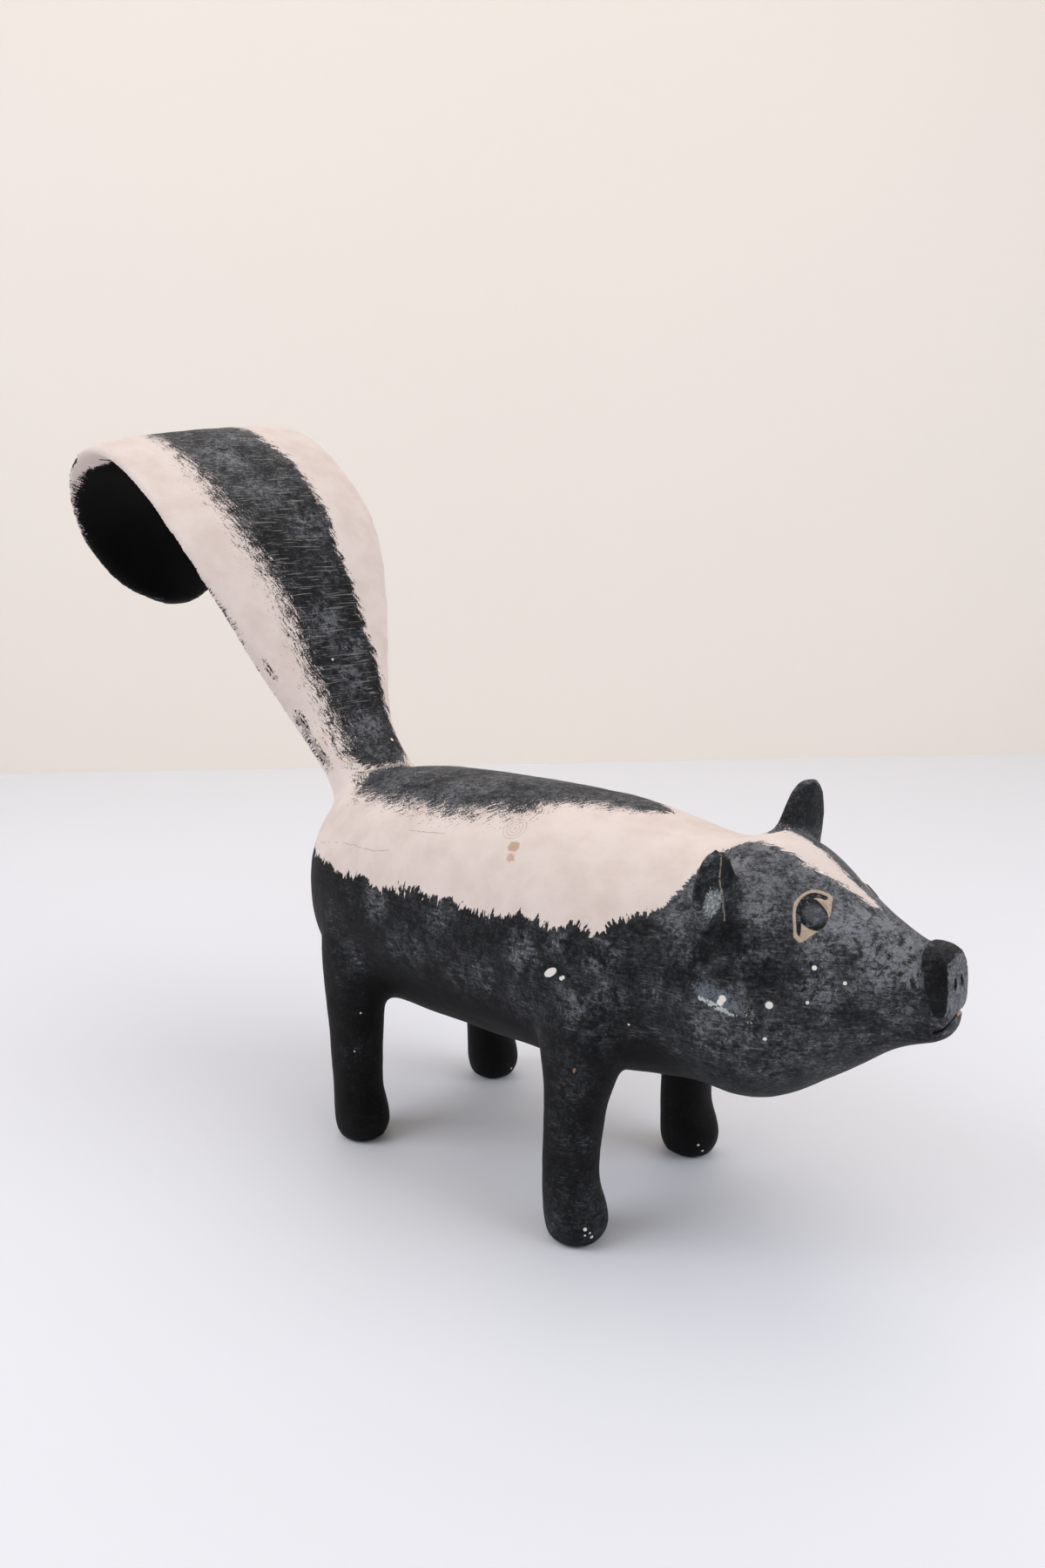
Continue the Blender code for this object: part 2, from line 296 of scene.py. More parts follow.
# Nose. A blunt block stands proud of the snout behind a small step, with two
# teardrop nostrils drilled in its flat front and the mouth sawn below them.
STEP_PLACE = (0.3346, 0.1929)
STEP_LEAN = -0.28
NOSTRIL_PLACE = (0.0043, 0.1885)
CAP_RISE, STEP_GROOVE, MOUTH_CUT, NOSTRIL_DEPTH = 0.0013, 0.0007, 0.0016, 0.0040
STEP_SOFTNESS, GROOVE_SETBACK, GROOVE_WIDTH = 0.0004, 0.0013, 0.0011
UPPER_LIP = (0.1725, 0.1745)
FRONT_START, MOUTH_START = 0.341, 0.3395
FAR_OFF = 9.0
x, y, z = spots.T
past_step = x - STEP_PLACE[0] - STEP_LEAN * (z - STEP_PLACE[1])
above_mouth = smooth_step(*UPPER_LIP, z)
cap = smooth_step(-STEP_SOFTNESS, STEP_SOFTNESS, past_step) * above_mouth
lift += CAP_RISE * cap * smooth_step(0.1, 0.5, 1 - facing[:, 0])
groove = np.exp(-((past_step + GROOVE_SETBACK) / GROOVE_WIDTH) ** 2)
lift -= STEP_GROOVE * groove * above_mouth * (facing[:, 0] < 0.8)
on_front = (x > FRONT_START) & (facing[:, 0] > 0.3)
beside, above = np.abs(y) - NOSTRIL_PLACE[0], z - NOSTRIL_PLACE[1]


def nostril_end(shift, half_width, half_height):
    """How far a spot lies from one end of a nostril, 1 at its rim."""
    return np.hypot((beside - shift[0]) / half_width, (above - shift[1]) / half_height)


round_end = nostril_end((0.0, -0.0006), half_width=0.0013, half_height=0.0016)
narrow_end = nostril_end((-0.0006, 0.0018), half_width=0.0009, half_height=0.0018)
nostril = np.where(on_front, np.minimum(round_end, narrow_end), FAR_OFF)
# The mouth as it shows from the front. Rows: y, z in mm.
MOUTH = [
    (-13.4, 163.0), (-12.0, 163.8), (-9.6, 166.0), (-7.4, 168.8), (-4.4, 171.4), (0.0, 173.0),
    (4.4, 172.8), (9.6, 171.0), (12.4, 168.0), (14.4, 165.0),
]
mouth = np.full(len(spots), FAR_OFF)
by_mouth = x > MOUTH_START
front_flat = np.stack([y, z], axis=1)[by_mouth] * 1000
mouth[by_mouth] = line_distance(front_flat, MOUTH)
lift -= MOUTH_CUT * (1 - smooth_step(0.2, 1.1, mouth))


# Ears. Each is a flat lobe left standing, with a carved rib up its middle, and the
# right one is hollowed a little on its outer side.
EAR_RIB = [(246, -62.8, 253), (246.8, -66, 242), (246.4, -62.5, 229.4), (246, -60.3, 217)]
LEFT_EAR_RIDGE = [(245, 35, 232), (246, 38, 250), (244, 40, 268)]
EAR_HOLLOW = (245.5, -73.5, 238)
RIB_RISE, RIB_WIDTH = 0.0011, 1.7
RIDGE_RISE, RIDGE_WIDTH = 0.0009, 2.5
HOLLOW_DEPTH, HOLLOW_WIDTH = 0.0016, 6.5
EARS_X, EARS_REACH, EARS_FOOT = 0.243, 0.02, 0.21
by_ears = (np.abs(x - EARS_X) < EARS_REACH) & (z > EARS_FOOT)
ear_spots = spots[by_ears] * 1000
from_hollow = np.linalg.norm(ear_spots - EAR_HOLLOW, axis=1)
lift[by_ears] += RIB_RISE * np.exp(-(line_distance(ear_spots, EAR_RIB) / RIB_WIDTH) ** 2)
lift[by_ears] += RIDGE_RISE * np.exp(-(line_distance(ear_spots, LEFT_EAR_RIDGE) / RIDGE_WIDTH) ** 2)
lift[by_ears] -= HOLLOW_DEPTH * np.exp(-(from_hollow / HOLLOW_WIDTH) ** 2)

spots += facing * lift[:, None]

# The front of the nose is one flat cut, leaning back a little at the top.
FLAT_FRONT_X, FLAT_FRONT_Z = 0.3474, 0.180
FLAT_FRONT_LEAN = 0.08
FLAT_FRONT_FOOT = 0.174
FRONT_STRETCH = 0.0012
STRETCHED_X, STRETCHED_Z = (0.336, 0.344), (0.172, 0.178)
stretch = smooth_step(*STRETCHED_X, spots[:, 0]) * FRONT_STRETCH * smooth_step(*STRETCHED_Z, spots[:, 2])
flat_cut = FLAT_FRONT_X - FLAT_FRONT_LEAN * (spots[:, 2] - FLAT_FRONT_Z)
flat_cut = np.where(spots[:, 2] > FLAT_FRONT_FOOT, flat_cut, 1.0)
spots[:, 0] = np.minimum(spots[:, 0] + stretch, flat_cut)
pit = 1 - smooth_step(0.55, 1.15, nostril)
spots[:, 0] -= NOSTRIL_DEPTH * pit
for vert, spot in zip(skin.verts, spots):
    vert.co = spot
skin.normal_update()


# Paint lines. The white runs along both flanks, up both rims of the tail and
# over the head, and black covers the rest. Each line was brushed by hand.
# Rows: x, y, z, raggedness in mm, dryness of the brush, lean of the strokes.
HEAD_LINE = [
    (301, 4, 218, 2.0, 0.9, 80), (296.6, 0.4, 220.5, 2.0, 0.9, 80), (287.2, -1.5, 226.4, 2.2, 0.8, 80),
    (281, -3, 230.4, 2.2, 0.8, 80), (274.5, -6.5, 234.4, 2.4, 0.8, 80), (266.7, -11, 239.1, 2.4, 0.8, 75),
    (258.5, -12, 244, 2.2, 0.7, 70), (250, -12.5, 246.6, 2.0, 0.6, 60), (242, -11.6, 247, 2.0, 0.5, 60),
    (232.6, -10.5, 245.7, 2.0, 0.5, 40), (222, -18, 242, 2.0, 0.4, 20),
]
FLANK_LINE = [
    (214, -43, 229, 1.8, 0.1, 0), (210, -53, 222, 1.8, 0.1, 0), (204, -62, 215, 2.4, 0.1, 0),
    (195, -69, 213, 2.8, 0.1, 0), (184, -74, 207, 3.0, 0.1, 5), (175, -77, 199, 3.2, 0.1, 8),
    (162, -80, 202, 3.2, 0.1, 8), (145, -81, 198, 3.2, 0.1, 8), (130, -82, 200, 3.2, 0.1, 8),
    (107, -82, 197, 3.0, 0.1, 8), (84, -82, 194, 3.0, 0.1, 8), (72, -82, 197, 3.0, 0.1, 8),
    (50, -82, 195, 3.0, 0.1, 8), (32, -82, 199, 3.0, 0.1, 8), (1, -82, 192, 3.0, 0.1, 8),
    (-16, -81, 197, 2.8, 0.1, 8), (-39, -79, 194, 2.6, 0.1, 8), (-52, -77, 198, 2.4, 0.1, 8),
    (-74, -70, 199, 2.2, 0.1, 8), (-90, -56, 203, 2.2, 0.1, 8), (-101, -42, 209, 2.0, 0.2, 0),
]
TAIL_BACK_LINE = [
    (-106, -31, 222, 1.5, 0.2, 0), (-106, -33, 243, 1.0, 0.4, 0), (-123, -41, 273, 1.2, 0.5, 0),
    (-141, -60, 318, 1.6, 0.6, 0), (-150, -70, 343, 2.6, 0.8, 0), (-158, -77, 363, 2.6, 0.8, 0),
    (-183, -88, 405, 1.2, 0.3, 0), (-216, -88, 436, 1.6, 0.3, 0), (-252, -86, 461, 2.0, 0.3, 0),
    (-278, -77, 468, 2.4, 0.5, 0), (-296, -64, 471, 2.4, 0.5, 0), (-306, -66, 468.5, 2.4, 0.6, 0),
    (-315, -77, 463, 2.4, 0.7, 0), (-329, -82.5, 447, 3.0, 1.0, 0), (-338, -80, 431, 4.0, 1.0, 0),
    (-342, -76, 414, 4.0, 1.0, 0), (-349, -66, 412, 4.0, 0.8, 0),
    (-351, -51, 425, 4.0, 0.7, 30),
]
TAIL_STRIPE_LEFT = [
    (-344, -44, 448, 5.0, 0.8, 60), (-322, -44, 478, 5.0, 0.9, 70), (-287, -45, 490, 5.0, 1.0, 75),
    (-236, -46, 471, 6.0, 1.0, 75), (-205, -45, 448, 7.0, 1.0, 75), (-178, -43, 420, 7.0, 1.0, 75),
    (-162, -37, 397, 7.0, 1.0, 75), (-150, -29, 371, 7.0, 1.0, 75), (-136, -27, 341, 7.0, 1.0, 75),
    (-126, -26, 318, 7.0, 1.0, 75), (-117, -22, 298, 7.0, 1.0, 75), (-100, -23, 272, 8.0, 1.0, 75),
    (-84, -24, 255, 5.0, 1.0, 70), (-77, -8, 250, 1.6, 1.0, 60),
]
TAIL_STRIPE_RIGHT = [
    (-77, 14, 250, 1.6, 1.0, 60), (-84, 29, 253, 2.5, 0.8, 60), (-100, 33, 270, 2.5, 0.6, 60),
    (-115, 36, 291, 3.0, 0.5, 60), (-128, 41, 321, 3.0, 0.5, 60), (-136, 39, 342, 3.2, 0.5, 60),
    (-151, 40, 377, 3.2, 0.5, 60), (-162, 37, 402, 3.2, 0.5, 60), (-179, 42, 429, 3.2, 0.5, 60),
    (-193, 42, 446, 3.2, 0.5, 60), (-220, 42, 470, 3.4, 0.6, 60), (-237, 38, 481, 3.6, 0.6, 60),
    (-274, 37, 497, 3.8, 0.7, 60), (-322, 40, 482, 4.0, 0.8, 60), (-344, 42, 450, 4.0, 0.8, 50),
]
BACK_STRIPE = [
    (-72, -28, 248, 2.5, 1.0, 47), (-62, -42, 246, 5.0, 1.0, 47), (-45, -50, 244, 6.0, 1.0, 47),
    (-4, -52, 245, 6.5, 1.0, 47), (36, -53, 246, 6.5, 1.0, 47), (49, -51, 246, 6.0, 1.0, 47),
    (66, -45, 248, 6.5, 1.0, 47), (91, -41, 248, 6.5, 1.0, 47), (102, -28, 251, 6.0, 1.0, 50),
    (123, -16, 251, 5.0, 1.0, 55), (148, -8, 248, 4.0, 1.0, 60), (163, 10, 245, 2.5, 0.8, 70),
    (148, 24, 247, 2.5, 0.7, 70), (118, 35, 247, 3.0, 0.7, 60), (91, 44, 246, 3.5, 0.7, 50),
    (60, 48, 245, 4.0, 0.8, 47), (20, 53, 245, 4.5, 0.8, 47), (-20, 51, 245, 4.5, 0.8, 47),
    (-50, 47, 244, 4.0, 0.8, 47), (-66, 36, 247, 3.0, 0.8, 47), (-73, 12, 250, 2.0, 1.0, 47),
]
FAR_HEAD_LINE = [
    (229, 22, 245, 2.0, 0.5, 20), (240, 15, 248, 2.2, 0.8, 60), (250, 12, 247, 2.5, 0.9, 70),
    (259, 11, 244, 2.5, 0.9, 75), (266, 11.5, 240, 2.5, 0.9, 80), (275, 11, 233.6, 2.5, 0.9, 80),
    (285, 9, 227, 2.2, 0.9, 80), (297, 6.8, 220, 2.0, 0.9, 80),
]
# The left flank's line mirrors the right one, and wavers by a few millimetres.
WAVER_ALONG, WAVER_UP = 3, 2
far_side = [(row[0] + WAVER_ALONG * math.sin(7 * i), -row[1], row[2] + WAVER_UP * math.sin(5 * i)) + row[3:]
            for i, row in enumerate(FLANK_LINE + TAIL_BACK_LINE)]
WHITE_OUTLINE = HEAD_LINE + FLANK_LINE + TAIL_BACK_LINE + TAIL_STRIPE_LEFT + TAIL_STRIPE_RIGHT
WHITE_OUTLINE += far_side[::-1] + FAR_HEAD_LINE
surface = BVHTree.FromBMesh(skin)


def brushed_line(rows, closed, spacing=0.0012):
    """Points along a line on the skin, with normals, directions and how far the strokes have gone."""
    rows = np.array(rows, float)
    rows[:, :4] /= 1000
    count = len(rows)
    drawn = []
    # The line is one smooth curve through the rows, bent by the rows on either side.
    for i in range(count if closed else count - 1):
        if closed:
            a, b, c, d = (rows[(i + k) % count] for k in (-1, 0, 1, 2))
        else:
            a, b, c, d = (rows[min(max(i + k, 0), count - 1)] for k in (-1, 0, 1, 2))
        steps = max(2, int(np.linalg.norm(c[:3] - b[:3]) / spacing))
        for t in np.arange(steps) / steps:
            bend = (2 * a - 5 * b + 4 * c - d) * t + (3 * b - a - 3 * c + d) * t * t
            drawn.append(b + 0.5 * t * ((c - a) + bend))
    drawn = np.array(drawn)
    hits = [surface.find_nearest(Vector(row[:3])) for row in drawn]
    drawn[:, :3] = [hit[0] for hit in hits]
    normals = np.array([hit[1] for hit in hits])
    for values in (drawn, normals):
        for _ in range(3):
            calm = (np.roll(values, 1, axis=0) + 2 * values + np.roll(values, -1, axis=0)) / 4
            values[1:-1] = calm[1:-1]
    if closed:
        ahead = np.roll(drawn[:, :3], -1, axis=0) - np.roll(drawn[:, :3], 1, axis=0)
    else:
        ahead = np.gradient(drawn[:, :3], axis=0)
    ahead /= np.linalg.norm(ahead, axis=1)[:, None] + 1e-12
    normals /= np.linalg.norm(normals, axis=1)[:, None] + 1e-12
    step = np.linalg.norm(np.diff(drawn[:, :3], axis=0, prepend=drawn[:1, :3]), axis=1)
    lean = np.radians(drawn[:, 5])
    gone = np.stack([np.cumsum(np.cos(lean) * step), np.cumsum(np.sin(lean) * step)], axis=1)
    return drawn, normals, ahead, gone


# A point of the skin belongs to the nearest paint line on its own face. The back
# stripe starts its strokes elsewhere, so that they don't repeat the outline's.
FACE_WEIGHT = 0.03
BACK_STRIPE_START = 7.0
BATCH = 4000
parts = [brushed_line(WHITE_OUTLINE, True), brushed_line(BACK_STRIPE, True)]
drawn, normals, ahead = (np.concatenate([part[i] for part in parts]) for i in range(3))
gone = np.concatenate([parts[0][3], parts[1][3] + BACK_STRIPE_START])
inward = np.cross(normals, ahead)
line_keys = np.concatenate([drawn[:, :3], normals * FACE_WEIGHT], axis=1).astype(np.float32)
facing = np.array([v.normal for v in skin.verts])
spot_keys = np.concatenate([spots, facing * FACE_WEIGHT], axis=1).astype(np.float32)
line_squares = (line_keys ** 2).sum(axis=1)
nearest = np.concatenate([
    np.argmin(line_squares - 2 * spot_keys[i:i + BATCH] @ line_keys.T, axis=1)
    for i in range(0, len(spots), BATCH)
])
offset = spots - drawn[nearest, :3]
along_step = (offset * ahead[nearest]).sum(axis=1)
side = np.sign((offset * inward[nearest]).sum(axis=1))
# Beyond the point of a tapered stroke a spot lies outside the turn of its line.
SHARP_TURN = 0.9
TIP_REACH = 0.002
turning = np.concatenate([np.roll(part[2], -4, axis=0) - np.roll(part[2], 4, axis=0) for part in parts])
outside = -np.sign((turning * inward).sum(axis=1))
at_tip = (np.linalg.norm(turning, axis=1) > SHARP_TURN)[nearest]
at_tip &= np.linalg.norm(offset, axis=1) > TIP_REACH
side = np.where(at_tip, outside[nearest], side)
across = side * np.sqrt(np.maximum((offset ** 2).sum(axis=1) - along_step ** 2, 0))

# Both ears are black all round. Rows: root, tip and half width in mm.
EARS = [((235, 33, 224), (240, 40.5, 275), 25), ((241, -60, 211), (244, -66, 255.5), 23)]
EAR_HALF_THICKNESS = 0.0095
EAR_START, EAR_BLACK_FROM = 0.018, 0.022
on_ear = np.zeros(len(spots), bool)
for root, tip, half_width in EARS:
    root, tip = np.array(root) / 1000, np.array(tip) / 1000
    up_ear = (tip - root) / np.linalg.norm(tip - root)
    height = (spots - root) @ up_ear
    from_axis = np.abs(spots - root - height[:, None] * up_ear)
    beside_axis = (from_axis[:, 0] < EAR_HALF_THICKNESS) & (from_axis[:, 1] < half_width / 1000)
    in_ear = beside_axis & (height > EAR_START)
    on_ear |= in_ear & (height > EAR_BLACK_FROM)
    clear = (height - EAR_BLACK_FROM) * in_ear
    across = np.where(in_ear, np.maximum(across, clear), across)
ragged, dryness, lean = drawn[nearest, 3], drawn[nearest, 4], np.radians(drawn[nearest, 5])
stroke = np.stack([
    gone[nearest, 0] + along_step * np.cos(lean) - across * np.sin(lean),
    gone[nearest, 1] + along_step * np.sin(lean) + across * np.cos(lean),
    np.zeros(len(spots)),
], axis=1)


# Wear. Chalky rubbed patches where hands and knocks have thinned the black.
# Rows: x, y, z, radius in mm, strength, which is below 0 where the black stayed deep.
RUBBED = [
    (127, -83, 180, 16, 0.8), (151, -80, 190, 13, 0.7), (180, -78, 186, 14, 0.8), (186, -78, 162, 16, 0.7),
    (164, -81, 157, 18, 0.6), (219, -60, 209, 14, 0.5), (229, -67, 194, 14, 0.5), (32, -83, 159, 24, 0.4),
    (84, -82, 154, 24, 0.5), (122, -78, 140, 20, 0.5), (1, -83, 181, 16, 0.5), (57, -84, 181, 14, 0.4),
    (-30, -81, 138, 20, 0.4), (-39, -81, 73, 18, 0.3), (164, -83, 106, 20, 0.4), (157, -82, 76, 18, 0.3),
    (179, -77, 145, 20, 0.4), (259, -48, 221, 11, 0.9), (236, -28, 241, 9, 0.7), (246, -19, 245, 8, 0.6),
    (295, -22, 215, 11, 1.0), (315, -23, 196, 14, 1.1), (300, -6, 218, 10, 0.8), (293, -43, 183, 14, 0.6),
    (328, -16, 194, 10, 1.3), (278, -51, 153, 16, 0.4), (323, -11, 204, 10, 1.2), (261, -59, 199, 12, 0.4),
    (246, -66, 154, 18, 0.4), (289, -38, 204, 12, 0.5), (305, -22, 208, 12, 0.7), (310, -5, 213, 9, 0.7),
    (264, -62, 162, 14, 0.4), (267, -48, 134, 16, 0.3), (-140, 1, 352, 22, 0.9), (-156, 29, 389, 18, 0.6),
    (-173, 20, 421, 22, 0.6), (-190, 0, 441, 18, 0.6), (-232, -8, 474, 22, 0.8), (-131, 17, 332, 18, 0.8),
    (-120, 10, 307, 20, 0.7), (-103, 6, 277, 16, 0.6), (-249, 20, 480, 18, 0.5),
    (127, 83, 170, 22, 0.7), (186, 78, 162, 18, 0.6), (60, 84, 150, 26, 0.5), (-30, 81, 150, 22, 0.5),
    (259, 48, 221, 12, 0.8), (315, 23, 196, 13, 0.8), (295, 22, 215, 11, 0.7), (278, 51, 153, 16, 0.5),
    (238, -68, 197, 11, -0.9), (268, -57, 191, 12, -0.6), (262, -58, 203, 9, -0.5),
    (248, -62, 210, 12, -0.7), (226, -72, 186, 12, -0.6), (283, -42, 172, 10, -0.4),
    (252, -66, 190, 9, -0.5), (306, -33, 170, 12, -0.4),
    (-100, 0, 170, 30, 0.5), (-150, 0, 330, 30, 0.6), (-185, 20, 380, 30, 0.6), (-230, -20, 430, 30, 0.5),
]
rubbed = np.zeros(len(spots))
deep = np.zeros(len(spots))
for px, py, pz, radius, strength in RUBBED:
    apart = np.linalg.norm(spots - np.array((px, py, pz)) / 1000, axis=1) * 1000
    amount = strength * (1 - smooth_step(0.2, 1.25, apart / radius))
    rubbed = np.maximum(rubbed, amount)
    deep = np.minimum(deep, amount)

# The whole black coat is paler on the head, and paler on top, partly chalk and partly
# a painted sheen; it is darker below, inside the curl of the tail and on the legs: painted shade.
x, y, z = spots.T
CURL_CENTRE = np.array((-0.285, 0.0, 0.420))
CURL_START, CURL_FACING = -0.19, 0.25
curl_ray = CURL_CENTRE - spots
curl_ray[:, 1] = 0
faces_centre = (curl_ray * facing).sum(axis=1) > CURL_FACING * np.linalg.norm(curl_ray, axis=1)
in_curl = (x < CURL_START) & faces_centre
# Paler on top: partly chalk, partly a painted sheen of the light from above.
top_chalk_and_sheen = smooth_step(0.3, 0.85, facing[:, 2]) * smooth_step(0.17, 0.22, z)
on_tail = smooth_step(0.25, 0.29, z) * (x < 0)
on_head = smooth_step(0.20, 0.235, x)
front_plane = smooth_step(0.75, 0.9, facing[:, 0]) * (x > 0.34) * above_mouth
near_foot = (1 - smooth_step(0.02, 0.06, z)) * (x > 0) * (y < 0)
# Darker low down, at the rump, underneath and on the far legs: painted shade.
low_shade = 1 - smooth_step(0.10, 0.15, z)
rump_shade = (1 - smooth_step(-0.1, 0.05, x)) * (z < 0.2)
shade_underneath = smooth_step(0.0, 0.6, -facing[:, 2]) * (z < 0.2) * (1 - 0.8 * on_head)
nose_side = cap * (1 - front_plane)
far_legs_shade = smooth_step(0.0, 0.05, y) * (z < 0.12)
# How chalky the coat is at first, and what each region adds to that, painted shade and painted sheen
# included.
COAT_WEAR, CURL_SHADE = 0.28, -0.5
wear = np.full(len(spots), COAT_WEAR)
for share, region in (
    (0.34, deep), (0.16, on_head), (0.23, top_chalk_and_sheen), (-0.05, on_tail), (-0.16, low_shade), (-0.14, rump_shade),
    (-0.18, shade_underneath), (-0.26, nose_side), (-0.15, far_legs_shade), (0.36, front_plane), (0.18, near_foot),
    (-0.14, on_ear),
):
    wear += share * region
# Inside the curl of the tail the coat is set to its darkest: painted shade.
wear = np.where(in_curl, CURL_SHADE, wear)

# Cracks along the grain in the white flank.
CRACKS = [
    [(-71, -66, 207.6), (-52, -69, 211), (-31, -72, 213.6), (-12, -72.5, 213), (3, -72.5, 215.8)],
    [(5, -63, 228.6), (22, -62.5, 229), (43, -61.6, 230.8)],
]


def line_gap(rows, reach=0.09, spacing=0.0006):
    """Signed distance from a thin line, and how far past its ends, in metres, within its reach."""
    # No brush drew it, so the last three columns of its rows are only filled in.
    drawn, normals, ahead, _ = brushed_line([row + (1, 0, 0) for row in rows], False, spacing)
    inward = np.cross(normals, ahead)
    gap, past = np.full(len(spots), 1.0), np.full(len(spots), 1.0)
    close = np.where(np.linalg.norm(spots - drawn[:, :3].mean(axis=0), axis=1) < reach)[0]
    apart = np.linalg.norm(spots[close, None] - drawn[None, :, :3], axis=2)
    pick = apart.argmin(axis=1)
    step = spots[close] - drawn[pick, :3]
    gap[close] = (step * inward[pick]).sum(axis=1)
    past[close] = np.sqrt(np.maximum((step ** 2).sum(axis=1) - gap[close] ** 2, 0))
    return gap, past


crack = np.full((len(spots), 3), 1.0)
for rows in CRACKS:
    gap, past = line_gap(rows)
    closer = np.abs(gap) + past < np.abs(crack[:, 0]) + crack[:, 1]
    crack[closer, 0], crack[closer, 1] = gap[closer], past[closer]
rib_gap, rib_past = line_gap(EAR_RIB)
rib = np.stack([rib_gap, rib_past, np.zeros(len(spots))], axis=1)

skin_mesh = bpy.data.meshes.new("carved_skunk")
skin.to_mesh(skin_mesh)
skin.free()
for name, kind, values in (
    ("edge", "FLOAT", across),
    ("ragged", "FLOAT", ragged),
    ("dryness", "FLOAT", dryness),
    ("stroke", "FLOAT_VECTOR", stroke),
    ("wear", "FLOAT", wear),
    ("rubbed", "FLOAT", rubbed),
    ("almond", "FLOAT", almond),
    ("lid", "FLOAT", lid),
    ("iris", "FLOAT", iris),
    ("mouth", "FLOAT", mouth),
    ("nostril", "FLOAT", nostril),
    ("crack", "FLOAT_VECTOR", crack),
    ("rib", "FLOAT_VECTOR", rib),
):
    layer = skin_mesh.attributes.new(name, kind, "POINT")
    holder = "vector" if kind == "FLOAT_VECTOR" else "value"
    layer.data.foreach_set(holder, values.astype(np.float32).ravel())
skin_mesh.shade_smooth()
skunk = bpy.data.objects.new("carved_skunk", skin_mesh)
bpy.context.scene.collection.objects.link(skunk)


# Matt water-based paint brushed on sanded wood: black over a warm off-white. It is
# dull and chalky, streaked at its edges where a dry brush skipped, and worn thin.
MM = 0.001
# The nodes used most: an ease between two limits, a blend of two colours and a product.
EASE, MIX, TIMES = "MapRange SMOOTHSTEP", "Mix RGBA", "Math MULTIPLY"
paint = bpy.data.materials.new("matt_paint_on_carved_wood")
paint.use_nodes = True
shader = paint.node_tree.nodes["Principled BSDF"]
shader.inputs["Specular IOR Level"].default_value = 0.14
place = put(paint, "TexCoord", out="Object")


def grainy(vector, size, detail=4.0, rough=0.6, stretch=(1, 1, 1), twist=0.0):
    """Noise whose grain has a real size in metres, stretched along some axes."""
    scaled = put(paint, "Mapping", vector, Scale=[1 / (size * s) for s in stretch])
    return put(paint, "TexNoise", scaled, Scale=1.0, Detail=detail, Roughness=rough, Distortion=twist)


def mixed(*shares):
    """Sum of noises about their middle, each with its share."""
    total = 0.0
    for noise_value, share in shares:
        total = put(paint, "Math MULTIPLY_ADD", put(paint, "Math SUBTRACT", noise_value, 0.5), share, total)
    return total


# The wear attribute holds chalky wear together with painted shade below and in the curl and a painted sheen
# on top.
edge, rag, dry, worn_and_shaded = (
    put(paint, "Attribute " + name, out="Fac") for name in ("edge", "ragged", "dryness", "wear")
)
strokes = put(paint, "Attribute stroke", out="Vector")

# Bristle tracks about 2 mm apart on a wet line, and 1 mm where the brush was dry.
wet_tracks = grainy(strokes, 2.4 * MM, 3.0, 0.65, (1, 5, 1))
dry_tracks = grainy(strokes, 1.2 * MM, 4.0, 0.65, (1, 6, 1))
dry_specks = grainy(place, 0.9 * MM, 3.0, 0.65)
wander = grainy(strokes, 9 * MM, 2.0, 0.5)
tracks = mixed((wander, 4.0), (wet_tracks, 7.0))
dry_noise = mixed((dry_specks, 8.0), (dry_tracks, 8.0))
wet_share = put(paint, "Math SUBTRACT", 1.0, put(paint, TIMES, dry, 0.35))
reach = put(paint, "Math DIVIDE", edge, rag)
cover = put(paint, "Math ADD", reach, put(paint, TIMES, tracks, wet_share))
cover = put(paint, "Math ADD", cover, put(paint, TIMES, dry_noise, dry))
softness = put(paint, EASE, dry, 0.0, 1.0, 0.12, 0.3)
black = put(paint, EASE, put(paint, "Math DIVIDE", cover, softness), -1.0, 1.0)

# Black paint: charcoal, clouded at several sizes, rubbed to chalky grey, and made darker by painted shade
# and paler by painted sheen where the wear attribute holds them.
cloud = grainy(place, 22 * MM, 3.0, 0.62)
patch = grainy(place, 6 * MM, 5.0, 0.72, (1, 1, 1), 0.6)
sponge = grainy(place, 1.9 * MM, 4.0, 0.7)
brushing = grainy(place, 1.0 * MM, 4.0, 0.6, (10, 6, 1))
fleck = grainy(place, 0.9 * MM, 2.0, 0.5)
clouding = mixed((cloud, 0.7), (patch, 1.0), (sponge, 1.25), (brushing, 0.8))
sponge_share = put(paint, "Math MULTIPLY_ADD", sponge, 0.5, 0.25)
chalk_on = put(paint, TIMES, put(paint, EASE, patch, 0.40, 0.54), sponge_share)
chalk_on = put(paint, TIMES, put(paint, "Attribute rubbed", out="Fac"), chalk_on)
worn_and_shaded = put(paint, "Math MULTIPLY_ADD", chalk_on, 0.75, worn_and_shaded)
level = put(paint, "Math MULTIPLY_ADD", clouding, put(paint, EASE, worn_and_shaded, 0.0, 0.9, 0.55, 1.1), worn_and_shaded)
CHALK_TONES = [(0.0, "040405"), (0.22, "17181A"), (0.45, "333437"), (0.7, "54565B"), (1.0, "7E8086")]
dark = put(paint, "ValToRGB", level, out="Color")
stops = dark.node.color_ramp.elements
while len(stops) < len(CHALK_TONES):
    stops.new(0.5)
for stop, (spot, code) in zip(stops, CHALK_TONES):
    stop.position = spot
    stop.color = srgb(code)
chalk = put(paint, EASE, level, 0.5, 0.9)
fleck_on = put(paint, TIMES, put(paint, EASE, fleck, 0.62, 0.67), put(paint, EASE, level, 0.42, 0.7))
dark = put(paint, MIX, put(paint, TIMES, fleck_on, 0.7), dark, "A6A6A8")
